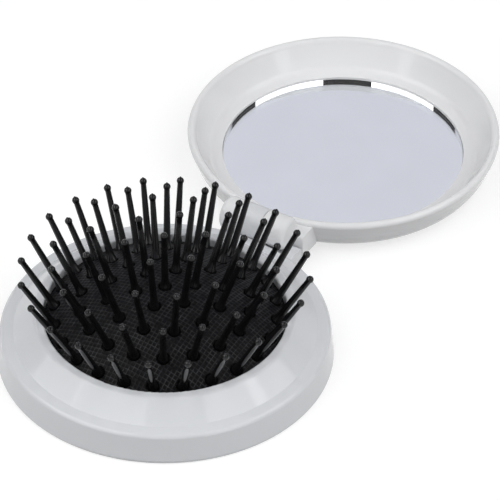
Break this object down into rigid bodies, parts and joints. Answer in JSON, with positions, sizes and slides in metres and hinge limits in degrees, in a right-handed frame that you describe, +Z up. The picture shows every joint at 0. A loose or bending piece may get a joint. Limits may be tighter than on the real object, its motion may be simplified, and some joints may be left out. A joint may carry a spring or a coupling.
{
  "type": "folding hairbrush with mirror",
  "caption": "Round folding hairbrush: white base with a snap-through black rubber dome of ball-ended pins, and a hinged lid that holds a round mirror.",
  "frame": {"origin": "bottom centre of the open brush's bounding box, on the table, just base-side of the hinge axis", "axes": "+X along the hinge axis, +Y from the base towards the lid (the long way of the open brush), +Z up from the table, the way the pins and the mirror face"},
  "size_m": [0.068, 0.1396, 0.0309],
  "materials": {
    "white_plastic": "glossy moulded, white",
    "lid_plastic": "glossy moulded, white",
    "clamp_plastic": "plain moulded, white",
    "black_rubber": "matt, fine cross-hatched relief",
    "black_nylon": "satin moulded, black",
    "steel": "drawn wire",
    "mirror": "silvered glass",
    "sticky_foam": "thin foam tape"
  },
  "bodies": {
    "base": {"base_housing": "white_plastic", "bottom_cover": "white_plastic", "clamp_ring": "clamp_plastic"},
    "pad": {"rubber_dome": "black_rubber", "pin_centre": "black_nylon", "pins_ring_1": "black_nylon", "pins_ring_2": "black_nylon", "pins_ring_3": "black_nylon", "pins_ring_4": "black_nylon"},
    "lid": {"lid_shell": "lid_plastic", "mirror_glass": "mirror", "mirror_sticky_pad": "sticky_foam", "hinge_rod": "steel"}
  },
  "joints": [
    {"name": "lid_hinge", "type": "hinge", "parent": "base", "child": "lid", "pos_m": [0, 0.0005, 0.00841], "axis": [1, 0, 0], "range_deg": [0, 180]},
    {"name": "pad_pop", "type": "slide", "parent": "base", "child": "pad", "axis": [0, 0, -1], "range_m": [0, 0.0168], "deforming": ["rubber_dome", "pin_centre", "pins_ring_1", "pins_ring_2", "pins_ring_3", "pins_ring_4"]}
  ],
  "couplings": [
    {"joint": "pad_pop", "follows": "lid_hinge", "m_per_rad": 0.0053476}
  ]
}
